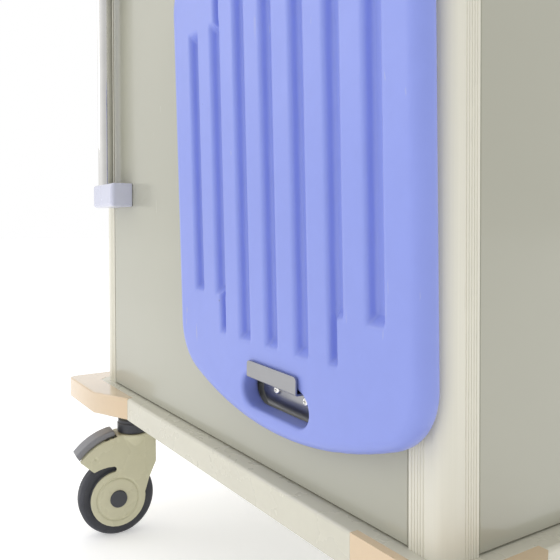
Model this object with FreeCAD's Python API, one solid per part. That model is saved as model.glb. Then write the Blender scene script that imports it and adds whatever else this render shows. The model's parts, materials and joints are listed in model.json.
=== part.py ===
"""Hospital emergency trolley: five drawers between four extruded corner posts, a moulded base rail with
corner bumpers, braked swivel casters, a resuscitation board hung on the back and a telescopic drip pole.

Millimetres. +Z is up, +Y is the back, where the board hangs, and -Y is the drawer side. The origin is on
the floor under the middle of the trolley."""

import FreeCAD, Part
import math
import os
from FreeCAD import Vector as V

# ---------------------------------------------------------------- driving dimensions
BODY_W = 750.0          # outer faces of the posts, left to right
BODY_D = 480.0          # outer faces of the posts, front to back
LEDGE_Z = 244.0         # top of the base rail
POST_TOP = 950.0
FLANGE = 38.6           # width of a post on each face
POST_R = 14.0           # outside radius of a post
WALL = 3.0              # wall of the extruded posts
GAP = 1.6               # shadow gap round each panel
SHEET = 1.5             # steel sheet

RAIL_OUT = 21.4         # base rail outside the body faces
RAIL_H = 33.8
BUMPER_OUT = 53.5       # bumper faces outside the body faces
FRAME_H = 22.0          # steel tube frame under the rail

WHEEL_R = 62.5
TREAD = 28.0
TRAIL = 30.0
STEM_X, STEM_Y = 309.0, 220.0
FORK_TOP = 167.0
CASTER_YAW = {"back_right": 83.0, "back_left": 97.0, "front_right": -83.0, "front_left": -97.0}
PEDAL_PIVOT = (10.0, 96.5)    # from the axle: towards the pedal, up
FORK_HALF = 20.5
AXLE_R, CAP_R, CAP_T = 6.0, 14.2, 2.2
COLLAR_R, COLLAR_H = 26.0, 16.0

BOARD_W, BOARD_H, BOARD_T = 405.0, 558.0, 22.0
BOARD_BACK = 15.0       # back of the board off the body face, at its middle
BOARD_X, BOARD_Z = -180.8, LEDGE_Z + 333.0
BOARD_TURN = -1.0       # degrees the board hangs out of square, its -X side lower
BOARD_TILT = -2.0       # degrees its top leans away from the body
BOARD_CORNER, BOARD_BOW = 62.0, 420.0
FRONT_EDGE, BACK_EDGE = 12.0, 6.5
PATTERN_X = -4.0        # slots and grooves off the board's middle
SLOT_W, SLOT_H = 115.0, 36.0
SLOT_FROM_CENTRE = 240.0
GROOVES, GROOVE_PITCH, GROOVE_D = 7, 49.6, 10.0
GROOVE_HALF = 13.5      # half width of a groove's mouth
NARROW_HALF = 8.2       # the same, at the ends of the second grooves in
GROOVE_UP = 5.7         # grooves' middle above the board's middle
LONG_GROOVE, SHORT_GROOVE = 185.0, 141.3    # half lengths of the flat bottoms

TAB_W, PLATE_W = 86.0, 104.0
BRACKET_T = 2.0
PLATE_OFF = 5.4         # front of the lower bracket's plate off the body face
TAB_OFF = 33.5          # front of its tab off the body face
BRACKET_TURN = -1.5     # degrees both brackets sit out of square
LOWER_BRACKET_X, UPPER_BRACKET_X = -183.5, -189.5
RETURN_FOOT, PLATE_FOOT, SHELF = 72.0, 86.7, 106.7    # heights above the ledge, lower bracket
TAB_H = 18.0
SCREW_Z, SCREW_APART = 93.7, 50.0

POLE_X, POLE_Y = 324.0, BODY_D / 2 + 18.8
TUBE_R, TUBE_BORE = 12.5, 11.0
ROD_R = 8.5
POLE_BASE = LEDGE_Z + 298.5
UPPER_BLOCK_Z = 910.0
TUBE_TOP = 1052.0
POLE_TOP = 1270.0
POLE_FOOT = 610.0
COLLAR_Z, COLLAR_RISE = 1034.0, 36.0
KNOB_Z = COLLAR_Z + COLLAR_RISE / 2

DRAWER_HEIGHTS = [190.0, 145.0, 106.0, 106.0, 106.0]    # bottom to top
DRAWER_GAP = 3.4
DRAWER_DEPTH = 405.0

# ---------------------------------------------------------------- worked-out dimensions
HX, HY = BODY_W / 2, BODY_D / 2
INNER_X, INNER_Y = HX - FLANGE, HY - FLANGE
RAIL_X, RAIL_Y = HX + RAIL_OUT, HY + RAIL_OUT
BUMP_X, BUMP_Y = HX + BUMPER_OUT, HY + BUMPER_OUT
RAIL_Z = LEDGE_Z - RAIL_H
FRAME_Z = RAIL_Z - FRAME_H
TOP_FRAME_Z = POST_TOP - 20.0
LOCK_X, LOCK_Z = 285.0, POST_TOP - 10.0
EPS = 0.01

os.makedirs("parts", exist_ok=True)


# ---------------------------------------------------------------- helpers
def save(name, *solids):
    shape = solids[0] if len(solids) == 1 else Part.makeCompound(list(solids))
    if not shape.isValid():
        print("INVALID", name)
    shape.exportStep(f"parts/{name}.step")


def box(x0, x1, y0, y1, z0, z1):
    return Part.makeBox(x1 - x0, y1 - y0, z1 - z0, V(x0, y0, z0))


def rod(radius, start, end):
    along = V(*end) - V(*start)
    return Part.makeCylinder(radius, along.Length, V(*start), along)


def wire_of(*parts):
    """A closed wire from points: a pair is a corner, and ("arc", middle, end) bulges to the next corner."""
    edges = []
    here = first = parts[0]
    for part in parts[1:] + (first,):
        if part[0] == "arc":
            edges.append(Part.Arc(V(*here), V(*part[1]), V(*part[2])).toShape())
            here = part[2]
        elif (V(*part) - V(*here)).Length > EPS:
            edges.append(Part.LineSegment(V(*here), V(*part)).toShape())
            here = part
    return Part.Wire(edges)


def prism(points, along):
    return Part.Face(wire_of(*points)).extrude(V(*along))


def plan(points, z0, z1):
    """A prism on a plan outline of (x, y) points, arcs included."""
    lifted = []
    for p in points:
        if p[0] == "arc":
            lifted.append(("arc", (*p[1], z0), (*p[2], z0)))
        else:
            lifted.append((*p, z0))
    return prism(tuple(lifted), (0, 0, z1 - z0))


def rounded_plan(x0, x1, y0, y1, r):
    k = r * (1 - math.sqrt(0.5))
    return [
        (x0 + r, y0), (x1 - r, y0), ("arc", (x1 - k, y0 + k), (x1, y0 + r)),
        (x1, y1 - r), ("arc", (x1 - k, y1 - k), (x1 - r, y1)),
        (x0 + r, y1), ("arc", (x0 + k, y1 - k), (x0, y1 - r)),
        (x0, y0 + r), ("arc", (x0 + k, y0 + k), (x0 + r, y0)),
    ]


def mirror_x(shape):
    return shape.mirror(V(0, 0, 0), V(1, 0, 0))


def mirror_y(shape):
    return shape.mirror(V(0, 0, 0), V(0, 1, 0))


def edges_where(shape, test):
    return [e for e in shape.Edges if test(e.BoundBox, e)]


def fillet_where(shape, radius, test):
    edges = edges_where(shape, test)
    return shape.makeFillet(radius, edges) if edges else shape


def tube_path(points, bend):
    """Straight runs through the points, joined by tangent arcs of the bend radius."""
    pts = [V(*p) for p in points]
    edges, here = [], pts[0]
    for before, corner, after in zip(pts, pts[1:], pts[2:]):
        a, b = (before - corner).normalize(), (after - corner).normalize()
        half = a.getAngle(b) / 2
        cut = bend / math.tan(half)
        p, q = corner + a * cut, corner + b * cut
        centre = corner + (a + b).normalize() * (bend / math.sin(half))
        middle = centre + (corner - centre).normalize() * bend
        if (p - here).Length > EPS:
            edges.append(Part.LineSegment(here, p).toShape())
        edges.append(Part.Arc(p, middle, q).toShape())
        here = q
    edges.append(Part.LineSegment(here, pts[-1]).toShape())
    return Part.Wire(edges)


def bent_rod(points, bend, radius):
    path = tube_path(points, bend)
    start = V(*points[0])
    profile = Part.Wire(Part.makeCircle(radius, start, V(*points[1]) - start))
    return path.makePipeShell([profile], True, False)


# ---------------------------------------------------------------- base
def base_frame():
    """Rectangular steel tube ring with two cross tubes; its corners carry the casters."""
    outer_x, outer_y, width, wall = 335.0, 233.0, 50.0, 2.0
    z0, z1 = FRAME_Z, RAIL_Z

    def ring(grow, low, high):
        outside = box(-outer_x + grow, outer_x - grow, -outer_y + grow, outer_y - grow, low, high)
        hole_x, hole_y = outer_x - width + grow, outer_y - width + grow
        return outside.cut(box(-hole_x, hole_x, -hole_y, hole_y, low - 1, high + 1))

    frame = ring(0, z0, z1)
    for x in (-120.0, 120.0):
        frame = frame.fuse(box(x - 20, x + 20, -outer_y + width / 2, outer_y - width / 2, z0, z1))
    frame = frame.removeSplitter()
    hollow = ring(wall, z0 + wall, z1 - wall)
    for x in (-120.0, 120.0):
        y = outer_y - width / 2
        hollow = hollow.fuse(box(x - 20 + wall, x + 20 - wall, -y, y, z0 + wall, z1 - wall))
    save("base_frame", frame.cut(hollow))


def bumper_outline(long):
    """Plan of the back right bumper. The long one flares well before the corner, the short one at it."""
    start = 167.6 if long else 107.4
    level = 0.0 if long else 58.0
    flare = 66.2 if long else 34.0
    side, side_flare, chamfer = 118.0, 52.0, 14.0
    x0, y0 = RAIL_X - start, RAIL_Y - side
    corner, inner = 13.0, 9.0
    k = corner * (1 - math.sqrt(0.5))
    return [
        (x0, RAIL_Y - inner), (x0, RAIL_Y), (x0 + level, RAIL_Y), (x0 + level + flare, BUMP_Y),
        (BUMP_X - corner, BUMP_Y), ("arc", (BUMP_X - k, BUMP_Y - k), (BUMP_X, BUMP_Y - corner)),
        (BUMP_X, y0 + side_flare), (RAIL_X, y0), (RAIL_X - inner, y0),
        (RAIL_X - inner, RAIL_Y - inner - chamfer), (RAIL_X - inner - chamfer, RAIL_Y - inner),
    ]


def bumpers():
    made = {}
    for side, long in (("right", True), ("left", False)):
        block = plan(bumper_outline(long), RAIL_Z, LEDGE_Z)
        block = fillet_where(block, 2.5, lambda b, e: b.ZLength < EPS and b.YMax > RAIL_Y + 1)
        block = block if side == "right" else mirror_x(block)
        made["bumper_back_" + side] = block
        made["bumper_front_" + side] = mirror_y(block)
    for name, block in made.items():
        save(name, block)
    return made


def base_rail(bumper_shapes):
    """Moulded ring with a ledge on top, open below, recessed at the corners for the bumpers."""
    skin, width = 4.0, 60.0
    ring = plan(rounded_plan(-RAIL_X, RAIL_X, -RAIL_Y, RAIL_Y, 26), RAIL_Z, LEDGE_Z)
    ring = fillet_where(ring, 4.0, lambda b, e: b.ZMin > LEDGE_Z - EPS)
    ix, iy = HX - width, HY - width
    ring = ring.cut(box(-ix, ix, -iy, iy, RAIL_Z - 1, LEDGE_Z + 1))
    step = 13.0
    trough = plan(rounded_plan(-RAIL_X + step, RAIL_X - step, -RAIL_Y + step, RAIL_Y - step, 18),
                  RAIL_Z - 1, LEDGE_Z - skin)
    trough = trough.cut(box(-ix - skin, ix + skin, -iy - skin, iy + skin, RAIL_Z - 2, LEDGE_Z))
    ring = ring.cut(trough)
    for x in (-RAIL_X, RAIL_X - 70):
        for y in (-RAIL_Y, RAIL_Y - 70):
            corner = box(x, x + 70, y, y + 70, RAIL_Z - 1, LEDGE_Z + 1)
            solid = box(x, x + 70, y, y + 70, RAIL_Z, LEDGE_Z)
            ring = ring.fuse(corner.common(trough).common(solid).cut(
                box(x + 20, x + 50, y + 20, y + 50, RAIL_Z - 1, LEDGE_Z - skin)))
    ring = ring.removeSplitter()
    for name, block in bumper_shapes.items():
        sx = 1 if name.endswith("right") else -1
        sy = 1 if "back" in name else -1
        outline = plan(bumper_outline(sx > 0), RAIL_Z - 1, LEDGE_Z + 1)
        outline = outline if sx > 0 else mirror_x(outline)
        outline = outline if sy > 0 else mirror_y(outline)
        ring = ring.cut(outline)
    save("base_rail", ring)


def floor_pan():
    z = LEDGE_Z
    pan = box(-INNER_X + 3, INNER_X - 3, -HY + 6, HY - 14, z, z + SHEET)
    lip = box(-INNER_X + 3, INNER_X - 3, -HY + 6, -HY + 6 + SHEET, z, z + 14)
    save("floor_pan", pan.fuse(lip).removeSplitter())


# ---------------------------------------------------------------- body
def posts():
    """Four extrusions with folded lips and fine ribs beside the panels."""
    x, y, r = HX, HY, POST_R
    k = r * (1 - math.sqrt(0.5))
    xi, yi, ri = HX - WALL, HY - WALL, POST_R - WALL
    ki = ri * (1 - math.sqrt(0.5))
    lip = 14.0
    ex, ey = INNER_X, INNER_Y
    outline = [
        (ex, y), (x - r, y), ("arc", (x - k, y - k), (x, y - r)), (x, ey),
        (x - lip, ey), (x - lip, ey + WALL), (xi, ey + WALL),
        (xi, yi - ri), ("arc", (xi - ki, yi - ki), (xi - ri, yi)),
        (ex + WALL, yi), (ex + WALL, y - lip), (ex, y - lip),
    ]
    post = plan(outline, LEDGE_Z, POST_TOP)
    first, pitch, width, depth = 3.0, 3.1, 1.3, 0.6
    ribs = []
    for n in range(5):
        at = first + pitch * n
        ribs.append(box(ex + at, ex + at + width, y - depth, y + 1, LEDGE_Z - 1, POST_TOP + 1))
        ribs.append(box(x - depth, x + 1, ey + at, ey + at + width, LEDGE_Z - 1, POST_TOP + 1))
    post = post.cut(Part.makeCompound(ribs))
    save("post_back_right", post)
    save("post_back_left", mirror_x(post))
    save("post_front_right", mirror_y(post))
    save("post_front_left", mirror_x(mirror_y(post)))


def tray_panel(half, z0, z1):
    """A steel panel with returned edges, made facing +Y with its face on the plane y = 0."""
    deep = 12.0
    panel = box(-half, half, -deep, 0, z0, z1)
    panel = fillet_where(panel, 1.2, lambda b, e: b.YMin > -EPS)
    return panel.cut(box(-half + SHEET, half - SHEET, -deep - 1, -SHEET, z0 + SHEET, z1 - SHEET))


def panels():
    z0, z1 = LEDGE_Z + GAP, POST_TOP
    back = tray_panel(INNER_X - GAP, z0, z1)
    back.translate(V(0, HY - 0.6, 0))
    side = tray_panel(INNER_Y - GAP, z0, z1)
    side.rotate(V(0, 0, 0), V(0, 0, 1), -90)
    side.translate(V(HX - 0.6, 0, 0))
    save("back_panel", back)
    save("right_panel", side)
    save("left_panel", mirror_x(side))


def top_frame():
    z0, z1 = TOP_FRAME_Z, POST_TOP
    ring = box(-INNER_X + 0.4, INNER_X - 0.4, -HY + 0.4, HY - 14, z0, z1)
    ring = ring.cut(box(-300, 300, -HY + 36, HY - 50, z0 - 1, z1 + 1))
    ring = ring.cut(rod(9.05, (LOCK_X, -HY - 5, LOCK_Z), (LOCK_X, -HY + 26, LOCK_Z)))
    save("top_frame", ring)


def key_lock():
    """The lock barrel turns a cam behind the top frame's front rail."""
    barrel = rod(8.99, (LOCK_X, -HY - 2.5, LOCK_Z), (LOCK_X, -HY + 26, LOCK_Z))
    barrel = fillet_where(barrel, 1.0, lambda b, e: b.YMax < -HY - 2.4)
    keyway = box(LOCK_X - 1.1, LOCK_X + 1.1, -HY - 3, -HY + 8, LOCK_Z - 4.5, LOCK_Z + 4.5)
    save("key_lock", barrel.cut(keyway))


def worktop():
    """Moulded tray top: raised rim round a sunk working surface, open below."""
    x, y0, y1, z0, z1 = HX + 8, -HY - 22, HY + 3, POST_TOP, POST_TOP + 38
    top = plan(rounded_plan(-x, x, y0, y1, 24), z0, z1)
    top = fillet_where(top, 7.0, lambda b, e: b.ZMin > z1 - EPS)
    sunk = plan(rounded_plan(-x + 26, x - 26, y0 + 26, y1 - 20, 18), z1 - 12, z1 + 1)
    sunk = fillet_where(sunk, 6.0, lambda b, e: b.ZMax < z1 - 11)
    under = plan(rounded_plan(-x + 5, x - 5, y0 + 5, y1 - 5, 20), z0 - 1, z1 - 18)
    land = box(-HX, HX, -HY, HY, z0 - 2, z1)
    land = land.cut(box(-HX + 12, HX - 12, -HY + 12, HY - 12, z0 - 3, z1 + 1))
    save("worktop", top.cut(sunk).cut(under.cut(land)))


def push_handle():
    z, x, half, r = 905.0, -HX - 37.0, 172.0, 12.0
    tube = rod(r, (x, -half, z), (x, half, z))
    tube = fillet_where(tube, 3.0, lambda b, e: b.YLength < EPS)
    arms = []
    for y in (-140.0, 140.0):
        arm = box(-HX + 0.6 - 29.0, -HX + 0.6, y - 15, y + 15, z - 15, z + 15)
        arm = fillet_where(arm, 5.0, lambda b, e: b.XLength > 20)
        clamp = rod(17.0, (x, y - 15, z), (x, y + 15, z))
        clamp = fillet_where(clamp, 2.5, lambda b, e: b.YLength < EPS)
        arm = arm.fuse(clamp).removeSplitter()
        arms.append(arm.cut(rod(r, (x, y - 20, z), (x, y + 20, z))))
    save("push_handle", tube)
    save("handle_brackets", *arms)


# ---------------------------------------------------------------- drawers
def drawer_levels():
    z = LEDGE_Z + 14 + 2
    levels = []
    for height in DRAWER_HEIGHTS:
        levels.append((z, z + height))
        z += height + DRAWER_GAP
    return levels


def drawer_front(z0, z1):
    """Moulded front with a full-width pull lip; fingers reach under the lip from below."""
    half = INNER_X - 2.0
    front = box(-half, half, -HY, -HY + 20, z0, z1)
    front = fillet_where(front, 3.0, lambda b, e: b.YMax < -HY + EPS)
    top, reach, deep, lip = z1 - 14.0, 24.0, 32.0, 5.0
    grip = 300.0
    pull = prism((
        (-grip, -HY + 4, top), (-grip, -HY - reach + 6, top - 1),
        ("arc", (-grip, -HY - reach, top - 8), (-grip, -HY - reach + 1, top - deep)),
        (-grip, -HY - reach + lip + 1, top - deep), (-grip, -HY - reach + lip + 1, top - 11),
        (-grip, -HY - 6, top - 6), (-grip, -HY + 4, top - 6),
    ), (2 * grip, 0, 0))
    ends = []
    for x in (-grip, grip - 5):
        ends.append(prism((
            (x, -HY + 4, top - 1), (x, -HY - reach + 8, top - 2), (x, -HY - reach + 2, top - 12),
            (x, -HY - reach + 2, top - deep), (x, -HY + 4, top - deep - 12)), (5, 0, 0)))
    return front.fuse([pull] + ends).removeSplitter()


def drawer_box(z0, z1):
    """Folded steel tray with a slide member on each side."""
    half, y0 = 318.0, -HY + 20.0
    low, high = z0 + 6, z1 - 14
    tray = box(-half, half, y0, y0 + DRAWER_DEPTH, low, high)
    tray = tray.cut(box(-half + SHEET, half - SHEET, y0 + SHEET, y0 + DRAWER_DEPTH - SHEET,
                        low + SHEET, high + 1))
    for sign in (-1, 1):
        slide = box(half, half + 4, y0 + 6, y0 + DRAWER_DEPTH, low + 25, low + 45)
        tray = tray.fuse(slide if sign > 0 else mirror_x(slide))
    return tray.removeSplitter()


def drawer_runner(z0):
    """Fixed slide channel on the right, tabbed to the posts' lips."""
    low = z0 + 6 + 20
    x0, x1 = 323.0, 334.0
    rail = box(x0, x1, -INNER_Y + GAP, INNER_Y - GAP, low, low + 30)
    rail = rail.cut(box(x0 - 1, x0 + 5, -HY, HY, low + 4, low + 26))
    tabs = []
    for y in (-INNER_Y + GAP, INNER_Y - GAP - 3):
        tabs.append(box(x1, HX - 13, y, y + 3, low, low + 30))
    return rail.fuse(tabs).removeSplitter()


def drawers():
    runners = []
    for n, (z0, z1) in enumerate(drawer_levels(), 1):
        save(f"drawer_{n}_front", drawer_front(z0, z1))
        save(f"drawer_{n}_box", drawer_box(z0, z1))
        runner = drawer_runner(z0)
        runners += [runner, mirror_x(runner)]
    save("drawer_runners", *runners)


# ---------------------------------------------------------------- casters
def caster_outline():
    """Side view of the fork shell: u is towards the pedal, v up, from the wheel's axle."""
    top = FORK_TOP - WHEEL_R
    return (
        (39.5, 48.0), (61.5, 67.5), ("arc", (32.4, 91.5), (3.0, 102.0)), (-2.0, top),
        (-TRAIL - 29.0, top), ("arc", (-63.0, 102.0), (-64.5, 96.5)),
        (-64.5, 54.0), (-53.0, 29.0), (-45.6, 6.0), (0.0, 0.0), (0.0, 43.0),
        (3.4, 46.6), ("arc", (3.4, 51.8), (8.0, 53.8)), ("arc", (24.5, 53.0), (39.5, 48.0)),
    )


def side_prism(points, half):
    """A prism in the caster's own frame: u along X, v along Z, centred across Y."""
    turned = []
    for p in points:
        if p[0] == "arc":
            turned.append(("arc", (p[1][0], -half, p[1][1]), (p[2][0], -half, p[2][1])))
        else:
            turned.append((p[0], -half, p[1]))
    return prism(tuple(turned), (0, 2 * half, 0))


def fork():
    """Shell over the wheel, with a round crown under the collar, the brake's pin and the swivel stem."""
    top = FORK_TOP - WHEEL_R
    shell = side_prism(caster_outline(), FORK_HALF)
    shell = shell.fuse(rod(45.6, (0, -FORK_HALF, 0), (0, FORK_HALF, 0)))
    shell = shell.removeSplitter()
    crown = Part.Face(wire_of(
        (0, 0, top - 38), (19, 0, top - 38), ("arc", (21.8, 0, top - 17), (29, 0, top - 4)),
        (29, 0, top), (0, 0, top))).revolve(V(0, 0, 0), V(0, 0, 1), 360)
    crown.translate(V(-TRAIL, 0, 0))
    shell = shell.fuse(crown).removeSplitter()
    shell = shell.cut(rod(WHEEL_R + 3.5, (0, -TREAD / 2 - 1.5, 0), (0, TREAD / 2 + 1.5, 0)))
    shell = shell.cut(box(3, 72, -11, 11, 30, 120))
    pu, pv = PEDAL_PIVOT
    shell = shell.cut(rod(10.2, (pu, -18, pv), (pu, 18, pv)))
    dot_u, dot_v, dot_r = 37.2, 70.5, 2.6
    for sign in (-1, 1):
        face = sign * FORK_HALF
        groove = rod(36.5, (0, face, 0), (0, face - sign * 1.6, 0))
        groove = groove.cut(rod(32.5, (0, face + sign, 0), (0, face - sign * 3, 0)))
        shell = shell.cut(groove)
        shell = shell.cut(rod(dot_r, (dot_u, face, dot_v), (dot_u, face - sign * 1.2, dot_v)))
    pin = rod(2.5, (pu, -19.5, pv), (pu, 19.5, pv))
    stem = rod(8.0, (-TRAIL, 0, top - 5), (-TRAIL, 0, FRAME_Z - WHEEL_R - 3))
    shell = shell.fuse([pin, stem]).removeSplitter()
    return shell.cut(rod(AXLE_R + 0.02, (0, -FORK_HALF - 1, 0), (0, FORK_HALF + 1, 0)))


def axle():
    pin = rod(AXLE_R, (0, -FORK_HALF - 1, 0), (0, FORK_HALF + 1, 0))
    caps = []
    for sign in (-1, 1):
        outer = sign * (FORK_HALF + CAP_T)
        cap = rod(CAP_R, (0, sign * FORK_HALF, 0), (0, outer, 0))
        caps.append(fillet_where(cap, 1.6, lambda b, e: abs(b.YMin - outer) < EPS and b.YLength < EPS))
    return pin.fuse(caps).removeSplitter()


def pedal():
    tread = side_prism((
        (67.9, 77.2), ("arc", (39.3, 100.7), (9.5, 111.6)), (5.6, 111.0), (3.4, 102.8),
        ("arc", (32.8, 92.3), (62.0, 68.4))), 15.0)
    tread = fillet_where(tread, 2.5, lambda b, e: b.YLength < EPS and b.ZLength > 15)
    pu, pv = PEDAL_PIVOT
    lug = side_prism(((3.6, pv + 5), (3.6, pv - 2), (pu, pv - 6), (16.0, pv - 2), (18.0, pv + 5)), 7.0)
    lug = lug.fuse(rod(5.0, (pu, -7, pv), (pu, 7, pv)))
    return tread.fuse(lug).removeSplitter().cut(rod(2.55, (pu, -9, pv), (pu, 9, pv)))


def tyre():
    half, r0, r1 = TREAD / 2, 46.0, WHEEL_R
    section = wire_of(
        (r0, 0, -half + 2), (r1 - 6, 0, -half), ("arc", (r1 - 1.6, 0, -half + 3.4), (r1, 0, -half + 8)),
        (r1, 0, half - 8), ("arc", (r1 - 1.6, 0, half - 3.4), (r1 - 6, 0, half)), (r0, 0, half - 2))
    ring = Part.Face(section).revolve(V(0, 0, 0), V(0, 0, 1), 360)
    ring.rotate(V(0, 0, 0), V(1, 0, 0), 90)
    return ring


def hub():
    half = TREAD / 2 - 2
    wheel = rod(46.0, (0, -half, 0), (0, half, 0))
    for sign in (-1, 1):
        dish = rod(40.0, (0, sign * half, 0), (0, sign * (half - 4), 0))
        dish = dish.cut(rod(16.0, (0, sign * (half + 1), 0), (0, sign * (half - 5), 0)))
        wheel = wheel.cut(dish)
    return wheel.cut(rod(6.05, (0, -half - 1, 0), (0, half + 1, 0)))


def collar():
    """Swivel bearing housing under the frame, bored for the fork's stem."""
    z0 = FORK_TOP + 0.5
    ring = rod(COLLAR_R, (0, 0, z0), (0, 0, z0 + COLLAR_H))
    ring = fillet_where(ring, 1.5, lambda b, e: b.ZLength < EPS)
    ring = ring.fuse(rod(COLLAR_R - 1.5, (0, 0, z0 + 2), (0, 0, FRAME_Z))).removeSplitter()
    return ring.cut(rod(8.05, (0, 0, z0 - 1), (0, 0, FRAME_Z - 1.5)))


def casters():
    made = {"fork": fork(), "axle": axle(), "brake_pedal": pedal(), "tyre": tyre(), "hub": hub()}
    collars = []
    for place, yaw in CASTER_YAW.items():
        x = STEM_X if place.endswith("right") else -STEM_X
        y = STEM_Y if place.startswith("back") else -STEM_Y
        for name, shape in made.items():
            piece = shape.copy()
            piece.translate(V(TRAIL, 0, WHEEL_R))
            piece.rotate(V(0, 0, 0), V(0, 0, 1), yaw)
            piece.translate(V(x, y, 0))
            save(f"caster_{place}_{name}", piece)
        ring = collar()
        ring.translate(V(x, y, 0))
        collars.append(ring)
    save("caster_collars", *collars)


# ---------------------------------------------------------------- resuscitation board
def board_outline():
    """Slightly bowed ends run into round corners, made flat on XZ about the board's centre."""
    w, h, bow, r = BOARD_W / 2, BOARD_H / 2, BOARD_BOW, BOARD_CORNER
    x0 = (w - r) / (1 - r / bow)
    angle = math.asin(x0 / bow)
    z0 = h - bow + bow * math.cos(angle)
    z1 = z0 - r * math.cos(angle)
    turn = (angle + math.pi / 2) / 2
    mx, mz = w - r + r * math.sin(turn), z1 + r * math.cos(turn)
    return (
        (x0, 0, z0), ("arc", (mx, 0, mz), (w, 0, z1)), (w, 0, -z1), ("arc", (mx, 0, -mz), (x0, 0, -z0)),
        ("arc", (0, 0, -h), (-x0, 0, -z0)), ("arc", (-mx, 0, -mz), (-w, 0, -z1)), (-w, 0, z1),
        ("arc", (-mx, 0, mz), (-x0, 0, z0)), ("arc", (0, 0, h), (x0, 0, z0)),
    )


def slot_cutter(y0, y1, z):
    w, h = SLOT_W / 2, SLOT_H / 2
    flat = w - h
    outline = (
        (-flat, y0, z - h), (flat, y0, z - h), ("arc", (w, y0, z), (flat, y0, z + h)),
        (-flat, y0, z + h), ("arc", (-w, y0, z), (-flat, y0, z - h)))
    return prism(outline, (0, y1 - y0, 0))


def trough_side(flat, depth, shoulder, slope):
    """One side of a groove's profile as (across, depth) points, from its flat bottom out to the face."""
    foot = 2.5
    a = math.radians(slope)
    run = (depth - (foot + shoulder) * (1 - math.cos(a))) / math.tan(a)
    p = (flat + foot * math.sin(a), depth - foot * (1 - math.cos(a)))
    q = (p[0] + run, shoulder * (1 - math.cos(a)))
    end = (q[0] + shoulder * math.sin(a), 0.0)
    low = (flat + foot * math.sin(a / 2), depth - foot * (1 - math.cos(a / 2)))
    high = (end[0] - shoulder * math.sin(a / 2), shoulder * (1 - math.cos(a / 2)))
    return low, p, q, high, end


def trough(flat, depth, shoulder, slope, place, along):
    """A groove's profile swept along one axis; place turns (across, depth) into a point."""
    low, p, q, high, end = trough_side(flat, depth, shoulder, slope)
    up = -4.0

    def at(point, side=1):
        return place(side * point[0], point[1])

    return prism((
        at((flat, depth)), ("arc", at(low), at(p)), at(q), ("arc", at(high), at(end)),
        at((end[0], up)), at((end[0], up), -1), at(end, -1), ("arc", at(high, -1), at(q, -1)),
        at(p, -1), ("arc", at(low, -1), at((flat, depth), -1))), along)


def groove_cutter(x, mouth, depth, shoulder, half):
    """A groove with rounded shoulders and ramped ends, lifted a little so no arc lies along the face."""
    face, wall, ramp = BOARD_T + 0.15, 75.0, 48.0
    flat = mouth - trough_side(0.0, depth, shoulder, wall)[4][0]
    low, reach = GROOVE_UP - half - 40.0, 2 * half + 80.0
    across = trough(flat, depth, shoulder, wall, lambda u, d: (u, face - d, low), (0, 0, reach))
    along = trough(half, depth, 4.0, ramp, lambda u, d: (-30, face - d, GROOVE_UP + u), (60, 0, 0))
    cutter = across.common(along)
    cutter.translate(V(x, 0, 0))
    return cutter


def cpr_board():
    """Grooved board with two hand slots; the grooves next to the outer ones narrow at their ends."""
    board = prism(board_outline(), (0, BOARD_T, 0))
    board = fillet_where(board, FRONT_EDGE, lambda b, e: b.YMin > BOARD_T - EPS)
    board = fillet_where(board, BACK_EDGE, lambda b, e: b.YMax < EPS)
    for z in (-SLOT_FROM_CENTRE, SLOT_FROM_CENTRE):
        slot = slot_cutter(-1, BOARD_T + 1, z)
        slot.translate(V(PATTERN_X, 0, 0))
        board = board.cut(slot)
        board = fillet_where(board, 4.0, lambda b, e: b.YLength < EPS
                             and abs(b.XMax - PATTERN_X) < SLOT_W / 2 + EPS
                             and abs(b.ZMax - z) < SLOT_H / 2 + EPS and abs(b.ZMin - z) < SLOT_H / 2 + EPS)
    middle = (GROOVES - 1) / 2
    for n in range(GROOVES):
        x = PATTERN_X + (n - middle) * GROOVE_PITCH
        half = LONG_GROOVE if 1 < n < GROOVES - 2 else SHORT_GROOVE
        board = board.cut(groove_cutter(x, GROOVE_HALF, GROOVE_D, 5.0, half))
        if n in (1, GROOVES - 2):
            inward = x + math.copysign(GROOVE_HALF - NARROW_HALF - 1.5, middle - n)
            board = board.cut(groove_cutter(inward, NARROW_HALF, GROOVE_D - 0.5, 3.5, LONG_GROOVE))
    board.rotate(V(0, 0, 0), V(1, 0, 0), BOARD_TILT)
    board.rotate(V(0, 0, 0), V(0, 1, 0), BOARD_TURN)
    board.translate(V(BOARD_X, HY + BOARD_BACK, BOARD_Z))
    save("cpr_board", board)


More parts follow.
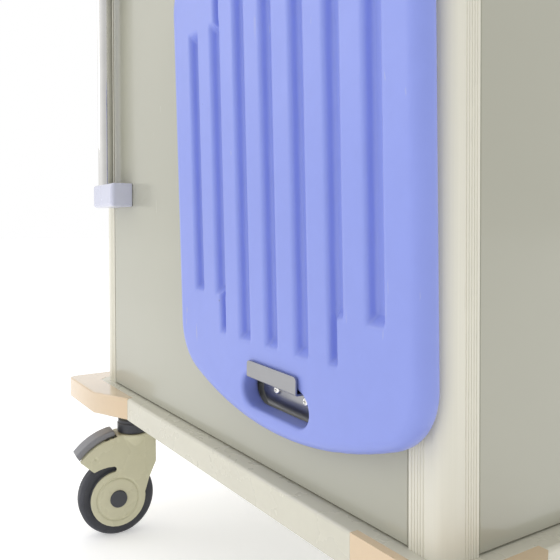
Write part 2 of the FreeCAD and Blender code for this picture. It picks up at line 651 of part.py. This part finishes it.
def bracket(x, out, rise):
    """Bent stainless hook: slanted return, plate, shelf through the board's slot, and a tab in front."""
    face = HY - 0.6
    y1, y2, t = HY + PLATE_OFF + out, HY + TAB_OFF + out, BRACKET_T
    z = LEDGE_Z + rise
    foot, bend, shelf = z + RETURN_FOOT, z + PLATE_FOOT, z + SHELF
    slope = (bend - foot) / (y1 - face)
    thick = t * math.hypot(1, slope)
    x0 = x - PLATE_W / 2
    plate = prism((
        (x0, face, foot), (x0, y1, bend), (x0, y1, shelf + t), (x0, y1 - t, shelf + t),
        (x0, y1 - t, foot + thick + (y1 - t - face) * slope), (x0, face, foot + thick)), (PLATE_W, 0, 0))
    x0 = x - TAB_W / 2
    hook = prism((
        (x0, y1 - t, shelf), (x0, y2, shelf), (x0, y2, shelf + TAB_H),
        (x0, y2 - t, shelf + TAB_H), (x0, y2 - t, shelf + t), (x0, y1 - t, shelf + t)), (TAB_W, 0, 0))
    hook = fillet_where(hook, 2.6, lambda b, e: b.XLength > 50 and abs(b.YMax - y2) < EPS
                        and abs(b.ZMax - shelf) < EPS)
    hook = fillet_where(hook, 4.0, lambda b, e: abs(b.YLength - t) < EPS and b.ZMin > shelf + TAB_H - EPS)
    pieces = [plate.fuse(hook).removeSplitter()]
    for dx in (-SCREW_APART / 2, SCREW_APART / 2):
        sx, sz = x + dx, z + SCREW_Z
        pieces[0] = pieces[0].cut(rod(2.6, (sx, face, sz), (sx, y1 + 1, sz)))
        head = rod(4.7, (sx, y1, sz), (sx, y1 + 3.0, sz))
        head = fillet_where(head, 1.8, lambda b, e: b.YMin > y1 + 2.9)
        cross = box(sx - 2.6, sx + 2.6, y1 + 1.6, y1 + 4, sz - 0.6, sz + 0.6).fuse(
            box(sx - 0.6, sx + 0.6, y1 + 1.6, y1 + 4, sz - 2.6, sz + 2.6))
        pieces.append(head.fuse(rod(2.5, (sx, face, sz), (sx, y1 + 1, sz))).cut(cross))
    for piece in pieces:
        piece.rotate(V(x, 0, shelf), V(0, 1, 0), BRACKET_TURN)
    return pieces


def board_brackets():
    """The upper bracket stands further out, as the board's lean asks."""
    apart = 2 * SLOT_FROM_CENTRE
    lower = bracket(LOWER_BRACKET_X, 0.0, 0.0)
    upper = bracket(UPPER_BRACKET_X, apart * math.tan(math.radians(-BOARD_TILT)), apart)
    save("board_brackets", lower[0], upper[0])
    save("bracket_screws", *(lower[1:] + upper[1:]))


# ---------------------------------------------------------------- drip pole
def pole_block(z0, through):
    """Moulded block on the back of the post; the lower one is a socket, the upper one a guide."""
    depth, height, socket = 35.3, 37.5, 6.0
    block = box(254.8, 342.0, HY, HY + depth, z0, z0 + height)
    block = fillet_where(block, 6.0, lambda b, e: b.YMin > HY + depth - 0.3)
    block = fillet_where(block, 3.0, lambda b, e: b.YLength > 25)
    floor = z0 - 1 if through else z0 + socket
    block = block.cut(rod(TUBE_R, (POLE_X, POLE_Y, floor), (POLE_X, POLE_Y, z0 + height + 2)))
    pocket = box(264, 304, HY + 8, HY + 27, z0 + height - 4, z0 + height + 2)
    pocket = fillet_where(pocket, 3.0, lambda b, e: b.ZLength > 5)
    return block.cut(pocket)


def pole_collar():
    """Clamping nut on top of the tube, with a boss for the knob's stud."""
    nut = rod(19.0, (POLE_X, POLE_Y, COLLAR_Z), (POLE_X, POLE_Y, COLLAR_Z + COLLAR_RISE))
    nut = fillet_where(nut, 3.0, lambda b, e: b.ZLength < EPS)
    boss = box(POLE_X - 40, POLE_X, POLE_Y - 9, POLE_Y + 9, KNOB_Z - 9, KNOB_Z + 9)
    boss = fillet_where(boss, 3.0, lambda b, e: b.XLength > 30)
    nut = nut.fuse(boss).removeSplitter()
    nut = nut.cut(rod(ROD_R + 0.06, (POLE_X, POLE_Y, COLLAR_Z - 1), (POLE_X, POLE_Y, COLLAR_Z + 40)))
    nut = nut.cut(rod(TUBE_R, (POLE_X, POLE_Y, COLLAR_Z - 1), (POLE_X, POLE_Y, TUBE_TOP)))
    return nut.cut(rod(4.05, (POLE_X - 45, POLE_Y, KNOB_Z), (POLE_X - 22, POLE_Y, KNOB_Z)))


def clamp_knob():
    """Six-lobed knob on a stud."""
    lobes, lobe_r, lobe_at, tip = 6, 5.5, 17.5, POLE_X - 58.0
    knob = rod(15.0, (POLE_X - 40.6, POLE_Y, KNOB_Z), (tip, POLE_Y, KNOB_Z))
    cuts = []
    for n in range(lobes):
        a = 2 * math.pi * n / lobes
        y, z = POLE_Y + lobe_at * math.cos(a), KNOB_Z + lobe_at * math.sin(a)
        cuts.append(rod(lobe_r, (POLE_X - 30, y, z), (POLE_X - 70, y, z)))
    knob = knob.cut(Part.makeCompound(cuts))
    knob = fillet_where(knob, 1.5, lambda b, e: b.XMax < tip + 0.1)
    stud = rod(4.0, (POLE_X - 24, POLE_Y, KNOB_Z), (POLE_X - 42, POLE_Y, KNOB_Z))
    return knob.fuse(stud).removeSplitter()


def drip_pole():
    save("iv_blocks", pole_block(POLE_BASE, False), pole_block(UPPER_BLOCK_Z, True))
    tube = rod(TUBE_R, (POLE_X, POLE_Y, POLE_BASE + 6), (POLE_X, POLE_Y, TUBE_TOP))
    save("iv_outer_tube", tube.cut(rod(TUBE_BORE, (POLE_X, POLE_Y, POLE_BASE), (POLE_X, POLE_Y, TUBE_TOP + 1))))
    save("iv_pole_collar", pole_collar())
    save("iv_clamp_knob", clamp_knob())
    pole = rod(ROD_R, (POLE_X, POLE_Y, POLE_FOOT), (POLE_X, POLE_Y, POLE_TOP))
    bore = rod(ROD_R - 1.5, (POLE_X, POLE_Y, POLE_FOOT - 1), (POLE_X, POLE_Y, POLE_TOP + 1))
    save("iv_inner_pole", pole.cut(bore))
    crown = rod(12.0, (POLE_X, POLE_Y, POLE_TOP), (POLE_X, POLE_Y, POLE_TOP + 20))
    crown = fillet_where(crown, 4.0, lambda b, e: b.ZMin > POLE_TOP + 19)
    arms = []
    for sign in (-1, 1):
        reach = [(8, 10), (52, -6), (80, 4), (84, 34)]
        arms.append(bent_rod([(POLE_X + sign * u, POLE_Y, POLE_TOP + v) for u, v in reach], 9.0, 3.0))
    save("iv_hooks", crown.fuse(arms).removeSplitter())


# ---------------------------------------------------------------- build
base_rail(bumpers())
base_frame()
floor_pan()
posts()
panels()
top_frame()
key_lock()
worktop()
push_handle()
drawers()
casters()
cpr_board()
board_brackets()
drip_pole()
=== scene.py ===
import json
import math

import bpy
from mathutils import Matrix, Vector


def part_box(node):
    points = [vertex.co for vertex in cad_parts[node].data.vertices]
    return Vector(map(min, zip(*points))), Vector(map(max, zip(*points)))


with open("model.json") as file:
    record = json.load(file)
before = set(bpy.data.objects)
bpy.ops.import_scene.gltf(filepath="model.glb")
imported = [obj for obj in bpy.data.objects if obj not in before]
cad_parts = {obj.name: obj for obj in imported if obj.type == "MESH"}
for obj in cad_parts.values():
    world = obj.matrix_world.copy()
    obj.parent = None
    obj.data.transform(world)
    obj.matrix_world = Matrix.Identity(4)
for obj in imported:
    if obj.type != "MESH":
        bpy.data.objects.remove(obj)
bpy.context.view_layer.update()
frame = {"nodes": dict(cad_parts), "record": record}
NODES = frame["nodes"]
SLOT_OF = {row["node"]: row["material_slot"] for row in frame["record"]["subparts"]}
MM = 0.001
LIGHT_LEVEL = 0.97      # how brightly the studio lights a surface that faces it, 1 being white paper


# ---------------------------------------------------------------- camera and stage
def aim(yaw, pitch, roll):
    """Right, up and back axes of a camera. Yaw 0 looks along +X, and positive yaw turns it towards -Y."""
    along = Vector((math.cos(yaw) * math.cos(pitch), -math.sin(yaw) * math.cos(pitch), math.sin(pitch)))
    level = along.cross(Vector((0, 0, 1))).normalized()
    raised = level.cross(along)
    right = math.cos(roll) * level + math.sin(roll) * raised
    up = math.cos(roll) * raised - math.sin(roll) * level
    return right, up, -along


def make_camera():
    """Low and close to the left back corner, looking along the back towards the drip pole."""
    low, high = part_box("post_back_left")
    corner = Vector((low.x, high.y, low.z))
    from_corner = Vector((-0.3429, 0.3940, 0.2642))
    yaw, pitch, roll = (math.radians(degrees) for degrees in (30.563, -1.071, -0.234))
    axes = Matrix(aim(yaw, pitch, roll)).transposed()
    data = bpy.data.cameras.new("camera")
    data.sensor_width = 36.0
    data.lens = 41.82
    data.shift_x, data.shift_y = 0.0893, -0.0714
    camera = bpy.data.objects.new("camera", data)
    camera.matrix_world = Matrix.Translation(corner + from_corner) @ axes.to_4x4()
    bpy.context.scene.collection.objects.link(camera)
    bpy.context.scene.camera = camera


def softbox(name, where, target, side, power):
    """A square area light that faces its target."""
    data = bpy.data.lights.new(name, "AREA")
    data.shape = "SQUARE"
    data.size = side
    data.energy = power
    light = bpy.data.objects.new(name, data)
    light.location = where
    light.rotation_euler = (Vector(target) - Vector(where)).to_track_quat("-Z", "Y").to_euler()
    bpy.context.scene.collection.objects.link(light)


def make_studio():
    """White surroundings, dimmer on the -X side, and two weak softboxes for the highlights."""
    full, dimmed = 1.0, 0.66
    dim_below, full_above = -0.9, 0.1       # along X, in the direction looked in
    world = bpy.data.worlds.new("studio")
    world.use_nodes = True
    nodes, links = world.node_tree.nodes, world.node_tree.links
    background = nodes["Background"]
    background.inputs["Color"].default_value = (1.0, 1.0, 1.0, 1.0)
    split = nodes.new("ShaderNodeSeparateXYZ")
    dim = nodes.new("ShaderNodeMapRange")
    dim.inputs["From Min"].default_value = dim_below
    dim.inputs["From Max"].default_value = full_above
    dim.inputs["To Min"].default_value = dimmed
    dim.inputs["To Max"].default_value = full
    links.new(nodes.new("ShaderNodeTexCoord").outputs["Generated"], split.inputs[0])
    links.new(split.outputs["X"], dim.inputs["Value"])
    links.new(dim.outputs["Result"], background.inputs["Strength"])
    bpy.context.scene.world = world
    bpy.context.scene.view_settings.view_transform = "Standard"
    softbox("light_overhead", (0.6, 0.6, 3.0), (0.0, 0.2, 0.4), 2.5, 8.0)
    softbox("light_key", (2.4, 2.6, 1.8), (0.0, 0.2, 0.5), 1.6, 10.0)


def make_floor():
    """A pale floor that glows a little, so that only a soft shadow shows under the wheels."""
    half, glow = 30.0, 0.35
    mesh = bpy.data.meshes.new("floor")
    corners = [(-half, -half, 0.0), (half, -half, 0.0), (half, half, 0.0), (-half, half, 0.0)]
    mesh.from_pydata(corners, [], [(0, 1, 2, 3)])
    floor = bpy.data.objects.new("floor", mesh)
    bpy.context.scene.collection.objects.link(floor)
    look = Look("floor", (0.90, 0.90, 0.90), 0.8, specular=0.1)
    look.mottle(3.0, 0.01)
    look.shader.inputs["Emission Color"].default_value = (1.0, 1.0, 1.0, 1.0)
    look.shader.inputs["Emission Strength"].default_value = glow
    floor.data.materials.append(look.done())


# ---------------------------------------------------------------- materials
def linear(red, green, blue):
    """The shader's colour for a surface that should look like these 0-255 values in the studio's light."""
    def one(value):
        value /= 255.0
        light = value / 12.92 if value <= 0.04045 else ((value + 0.055) / 1.055) ** 2.4
        return light / LIGHT_LEVEL
    return one(red), one(green), one(blue)


class Look:
    """A material on one Principled shader, with its colour, roughness and bump made from nodes."""

    def __init__(self, name, colour, roughness, metallic=0.0, specular=0.5, coat=0.0):
        self.material = bpy.data.materials.new(name)
        self.material.use_nodes = True
        self.tree = self.material.node_tree
        self.shader = self.tree.nodes["Principled BSDF"]
        self.shader.inputs["Metallic"].default_value = metallic
        self.shader.inputs["Specular IOR Level"].default_value = specular
        self.shader.inputs["Coat Weight"].default_value = coat
        self.shader.inputs["Coat Roughness"].default_value = 0.08
        self.place = self.node("TexCoord").outputs["Object"]
        self.colour = (*colour, 1.0)
        self.roughness = roughness
        self.normal = None

    def node(self, kind, settings=None, **inputs):
        """A new shader node with its settings made and its named inputs fed."""
        node = self.tree.nodes.new("ShaderNode" + kind)
        for name, value in (settings or {}).items():
            setattr(node, name, value)
        for name, value in inputs.items():
            self.feed(node.inputs[name.replace("_", " ")], value)
        return node

    def feed(self, socket, value):
        """Links a socket, sets a number or colour, or leaves the default for None."""
        if isinstance(value, bpy.types.NodeSocket):
            self.tree.links.new(value, socket)
        elif value is not None:
            socket.default_value = value

    def maths(self, operation, first, second=None, third=None):
        node = self.node("Math", {"operation": operation})
        for socket, value in zip(node.inputs, (first, second, third)):
            self.feed(socket, value)
        return node.outputs[0]

    def between(self, value, low, high, to_low=0.0, to_high=1.0):
        """Eases a value from one range into another and holds it at the ends."""
        node = self.node("MapRange", {"interpolation_type": "SMOOTHSTEP"}, Value=value)
        ends = {"From Min": low, "From Max": high, "To Min": to_low, "To Max": to_high}
        for name, number in ends.items():
            node.inputs[name].default_value = number
        return node.outputs["Result"]

    def stretched(self, scale):
        return self.node("Mapping", None, Vector=self.place, Scale=scale).outputs["Vector"]

    def noise(self, scale, detail=3.0, stretch=None):
        where = self.stretched(stretch) if stretch else self.place
        return self.node("TexNoise", None, Vector=where, Scale=scale, Detail=detail).outputs["Fac"]

    def mix_colour(self, factor, other, blend="MIX"):
        """Blends another colour over what the look has so far."""
        node = self.node("Mix", {"data_type": "RGBA", "blend_type": blend})
        self.feed(node.inputs["Factor"], factor)
        sockets = [s for s in node.inputs if s.type == "RGBA"]
        self.feed(sockets[0], self.colour)
        self.feed(sockets[1], other)
        self.colour = next(s for s in node.outputs if s.type == "RGBA")

    def mottle(self, scale, amount, stretch=None):
        """Slight light and dark clouds in the colour."""
        cloud = self.between(self.noise(scale, 4.0, stretch), 0.25, 0.75, 1.0 - amount, 1.0)
        shade = self.node("CombineColor", None, Red=cloud, Green=cloud, Blue=cloud).outputs[0]
        self.mix_colour(1.0, shade, "MULTIPLY")

    def tint(self, mask, colour, amount):
        """Lays a colour over the masked places."""
        self.mix_colour(self.maths("MULTIPLY", mask, amount), (*colour, 1.0))

    def patchy_gloss(self, scale, amount, stretch=None):
        """Roughness that wanders either side of its base value."""
        cloud = self.between(self.noise(scale, 4.0, stretch), 0.3, 0.7, -amount, amount)
        self.roughness = self.maths("ADD", cloud, self.roughness)

    def rougher(self, mask, amount):
        """Adds to the roughness where the mask is."""
        self.roughness = self.maths("MULTIPLY_ADD", mask, amount, self.roughness)

    def bump(self, height, distance):
        """Relief on top of any laid before it, its full height being the distance."""
        node = self.node("Bump", None, Strength=1.0, Distance=distance, Height=height)
        self.feed(node.inputs["Normal"], self.normal)
        self.normal = node.outputs["Normal"]

    def edge(self, radius):
        """1 on sharp edges, fading to 0 at the given distance from them."""
        rounded = self.node("Bevel", {"samples": 4}, Radius=radius).outputs["Normal"]
        flat = self.node("NewGeometry").outputs["Normal"]
        turned = self.node("VectorMath", {"operation": "DOT_PRODUCT"})
        self.feed(turned.inputs[0], rounded)
        self.feed(turned.inputs[1], flat)
        return self.between(turned.outputs["Value"], 0.99, 0.80)

    def worn_edge(self, radius, colour, amount):
        """Patches along the sharp edges where the finish is rubbed."""
        patches = self.between(self.noise(60.0, 5.0), 0.42, 0.62)
        worn = self.maths("MULTIPLY", self.edge(radius), patches)
        self.tint(worn, colour, amount)
        self.rougher(worn, 0.15)

    def specks(self, per_metre, share, radius, colour, amount):
        """Rare small round marks: one cell in so many holds one."""
        cells = self.node("TexVoronoi", None, Vector=self.place, Scale=per_metre)
        chance = self.node("SeparateColor", None, Color=cells.outputs["Color"]).outputs["Red"]
        chosen = self.between(chance, 1.0 - share, 1.0 - share + 0.01)
        near = self.between(cells.outputs["Distance"], radius * per_metre, 0.4 * radius * per_metre)
        self.tint(self.maths("MULTIPLY", chosen, near), colour, amount)

    def scuffs(self, scale, stretch, colour, amount, threshold=0.68):
        """Thin drawn-out rubs in a few patches."""
        lines = self.between(self.noise(scale, 6.0, stretch), threshold, threshold + 0.05)
        patches = self.between(self.noise(7.0, 2.0), 0.52, 0.62)
        rubs = self.maths("MULTIPLY", lines, patches)
        self.tint(rubs, colour, amount)
        self.rougher(rubs, 0.12)

    def done(self):
        """Feeds the finished colour, roughness and normal to the shader."""
        self.feed(self.shader.inputs["Base Color"], self.colour)
        self.feed(self.shader.inputs["Roughness"], self.roughness)
        self.feed(self.shader.inputs["Normal"], self.normal)
        return self.material


def moulded(name, colour, roughness, grain=0.02, wear=0.25, **more):
    """Injection moulded plastic: fine spark-eroded grain, faint flow clouds and slightly rubbed edges."""
    look = Look(name, colour, roughness, **more)
    look.mottle(9.0, 0.05)
    look.mottle(140.0, 0.02)
    look.patchy_gloss(25.0, 0.05)
    if wear:
        look.worn_edge(1.6 * MM, tuple(min(1.0, c * 1.25 + 0.04) for c in colour), wear)
    look.bump(look.noise(1400.0, 2.0), grain * MM)
    look.bump(look.noise(18.0, 1.0), 0.12 * MM)
    return look


def painted(name, colour, roughness, **more):
    """Powder-coated steel: orange peel, faint handling marks and edges rubbed to a lighter tone."""
    look = Look(name, colour, roughness, **more)
    look.mottle(4.0, 0.03)
    look.patchy_gloss(12.0, 0.04)
    look.worn_edge(1.2 * MM, tuple(c * 0.72 for c in colour), 0.35)
    look.scuffs(240.0, (1.0, 1.0, 0.06), tuple(c * 0.8 for c in colour), 0.2)
    look.bump(look.noise(420.0, 2.0), 0.02 * MM)
    look.bump(look.noise(5.0, 1.0), 0.8 * MM)
    return look


def steel(name, colour, roughness, brushed, grain=1.0, **more):
    """Bare steel with lines drawn along one direction; brushed is the stretch that gives it."""
    look = Look(name, colour, roughness, metallic=1.0, **more)
    look.mottle(30.0, 0.05)
    look.patchy_gloss(900.0, 0.06 * grain, brushed)
    look.patchy_gloss(40.0, 0.04)
    look.bump(look.noise(1600.0, 3.0, brushed), 0.005 * grain * MM)
    return look


def rubber(name, colour):
    """Matt tread rubber with dust in its pores."""
    look = Look(name, colour, 0.62, specular=0.35)
    look.mottle(60.0, 0.12)
    look.patchy_gloss(45.0, 0.10)
    look.specks(900.0, 0.25, 0.4 * MM, (0.30, 0.29, 0.26), 0.25)
    look.bump(look.noise(900.0, 4.0), 0.03 * MM)
    return look


def board_plastic():
    """Blow-moulded polyethylene with a soft sheen, faint scuffs and a few specks of dirt."""
    colour = linear(138, 152, 225)
    look = Look("board", colour, 0.36)
    look.mottle(5.0, 0.03)
    look.mottle(60.0, 0.02)
    look.patchy_gloss(14.0, 0.05)
    look.scuffs(120.0, (1.0, 1.0, 0.15), linear(190, 190, 200), 0.35)
    look.specks(26.0, 0.08, 1.4 * MM, linear(120, 125, 140), 0.6)
    look.specks(70.0, 0.03, 0.7 * MM, linear(60, 70, 120), 0.8)
    look.bump(look.noise(900.0, 2.0), 0.012 * MM)
    look.bump(look.noise(12.0, 1.0), 0.5 * MM)
    return look


def post_finish():
    """Painted aluminium extrusion with faint die lines along its length."""
    colour = linear(226, 223, 208)
    look = Look("post", colour, 0.34)
    look.mottle(7.0, 0.03)
    look.mottle(600.0, 0.03, (1.0, 1.0, 0.01))
    look.patchy_gloss(20.0, 0.05)
    look.scuffs(300.0, (1.0, 1.0, 0.05), linear(190, 186, 170), 0.5, 0.66)
    look.specks(30.0, 0.05, 1.0 * MM, linear(170, 166, 150), 0.6)
    look.worn_edge(1.0 * MM, linear(205, 202, 190), 0.4)
    look.bump(look.noise(900.0, 2.0, (1.0, 1.0, 0.02)), 0.012 * MM)
    return look


def chrome(name):
    """Polished tube with fine lengthwise polishing lines and faint smears."""
    look = Look(name, (0.80, 0.79, 0.77), 0.07, metallic=1.0)
    look.mottle(40.0, 0.05)
    look.patchy_gloss(60.0, 0.03)
    look.bump(look.noise(700.0, 3.0, (1.0, 1.0, 0.02)), 0.004 * MM)
    return look


CREAM = linear(216, 213, 199)
LILAC = linear(207, 209, 226)
ALONG_X, ALONG_Y = (0.03, 1.0, 1.0), (1.0, 0.03, 1.0)

LOOKS = {
    "bumper": lambda: moulded("bumper", linear(218, 192, 156), 0.16, 0.01, 0.0, coat=1.0),
    "post": post_finish,
    "panel": lambda: painted("panel", linear(174, 173, 158), 0.20, coat=0.25),
    "caster_shell": lambda: moulded("caster_shell", linear(206, 202, 172), 0.28, 0.008, 0.0),
    "axle": lambda: moulded("axle", linear(62, 64, 70), 0.34, 0.015),
    "pedal": lambda: moulded("pedal", linear(136, 136, 140), 0.45, 0.02, 0.0),
    "tyre": lambda: rubber("tyre", linear(70, 71, 77)),
    "hub": lambda: moulded("hub", linear(96, 98, 104), 0.42, 0.02),
    "collar": lambda: moulded("collar", linear(60, 62, 68), 0.36, 0.02),
    "runner": lambda: steel("runner", (0.62, 0.62, 0.62), 0.30, ALONG_Y),
    "drawer_front": lambda: moulded("drawer_front", CREAM, 0.36, 0.015),
    "drawer_box": lambda: painted("drawer_box", linear(205, 204, 196), 0.32),
    "rail": lambda: moulded("rail", linear(210, 207, 191), 0.28, 0.010, 0.0),
    "frame": lambda: painted("frame", linear(170, 168, 156), 0.36),
    "pan": lambda: painted("pan", linear(196, 194, 182), 0.34),
    "top_frame": lambda: painted("top_frame", linear(196, 194, 182), 0.34),
    "worktop": lambda: moulded("worktop", linear(228, 226, 216), 0.36, 0.02),
    "handle": lambda: steel("handle", (0.76, 0.76, 0.75), 0.16, ALONG_Y),
    "handle_bracket": lambda: moulded("handle_bracket", LILAC, 0.35, 0.015),
    "bracket": lambda: steel("bracket", (0.34, 0.34, 0.35), 0.34, ALONG_X, 0.4),
    "screw": lambda: chrome("screw"),
    "board": board_plastic,
    "block": lambda: moulded("block", LILAC, 0.24, 0.01, 0.0),
    "tube": lambda: chrome("tube"),
    "rod": lambda: chrome("rod"),
    "pole_collar": lambda: moulded("pole_collar", LILAC, 0.32, 0.01),
    "knob": lambda: moulded("knob", linear(70, 72, 78), 0.5, 0.03),
    "lock": lambda: chrome("lock"),
}


# ---------------------------------------------------------------- shapes
def weld(node):
    """Joins the loose corners that separate CAD faces leave on their shared edges."""
    joined = node.modifiers.new("weld", "WELD")
    joined.merge_threshold = 0.005 * MM


def ease_edges(node, width):
    """Breaks the sharp edges of a rigid part, as real tooling and sheet work leave them."""
    weld(node)
    merged = node.modifiers.new("merge_flats", "DECIMATE")
    merged.decimate_type = "DISSOLVE"
    merged.angle_limit = math.radians(0.5)
    bevel = node.modifiers.new("bevel", "BEVEL")
    bevel.width = width
    bevel.segments = 2
    bevel.limit_method = "ANGLE"
    bevel.angle_limit = math.radians(35)
    bevel.use_clamp_overlap = True
    shading = node.modifiers.new("flat_faces_flat", "WEIGHTED_NORMAL")
    shading.weight = 100
    shading.keep_sharp = False


def soften(node, voxel, rounds):
    """Rounds every corner of a moulded part by remeshing it finely and relaxing it a little."""
    weld(node)
    remesh = node.modifiers.new("remesh", "REMESH")
    remesh.mode = "VOXEL"
    remesh.voxel_size = voxel
    remesh.use_smooth_shade = True
    relax = node.modifiers.new("relax", "SMOOTH")
    relax.factor = 0.5
    relax.iterations = rounds


SOFTENED = {        # voxel size and rounds of smoothing
    "board": (1.5 * MM, 4),
    "caster_shell": (1.0 * MM, 3),
    "pedal": (0.8 * MM, 3),
    "block": (0.8 * MM, 3),
}
EASED = {           # bevel width in millimetres
    "post": 0.2, "panel": 0.3, "axle": 0.3, "rail": 0.8, "bumper": 1.0, "hub": 0.6,
    "collar": 0.6, "tyre": 0.4, "runner": 0.3, "drawer_front": 0.6, "drawer_box": 0.3, "frame": 0.8,
    "pan": 0.3, "top_frame": 0.5, "worktop": 0.8, "handle_bracket": 0.6, "bracket": 0.4, "screw": 0.2,
    "pole_collar": 0.6, "lock": 0.2, "knob": 0.4,
}


def finish_nodes():
    """Gives every CAD node its material and its softened or eased edges."""
    made = {slot: look().done() for slot, look in LOOKS.items()}
    for name, node in NODES.items():
        slot = SLOT_OF[name]
        node.data.materials.clear()
        node.data.materials.append(made[slot])
        if slot in SOFTENED:
            soften(node, *SOFTENED[slot])
        elif slot in EASED:
            ease_edges(node, EASED[slot] * MM)


make_camera()
make_studio()
make_floor()
finish_nodes()
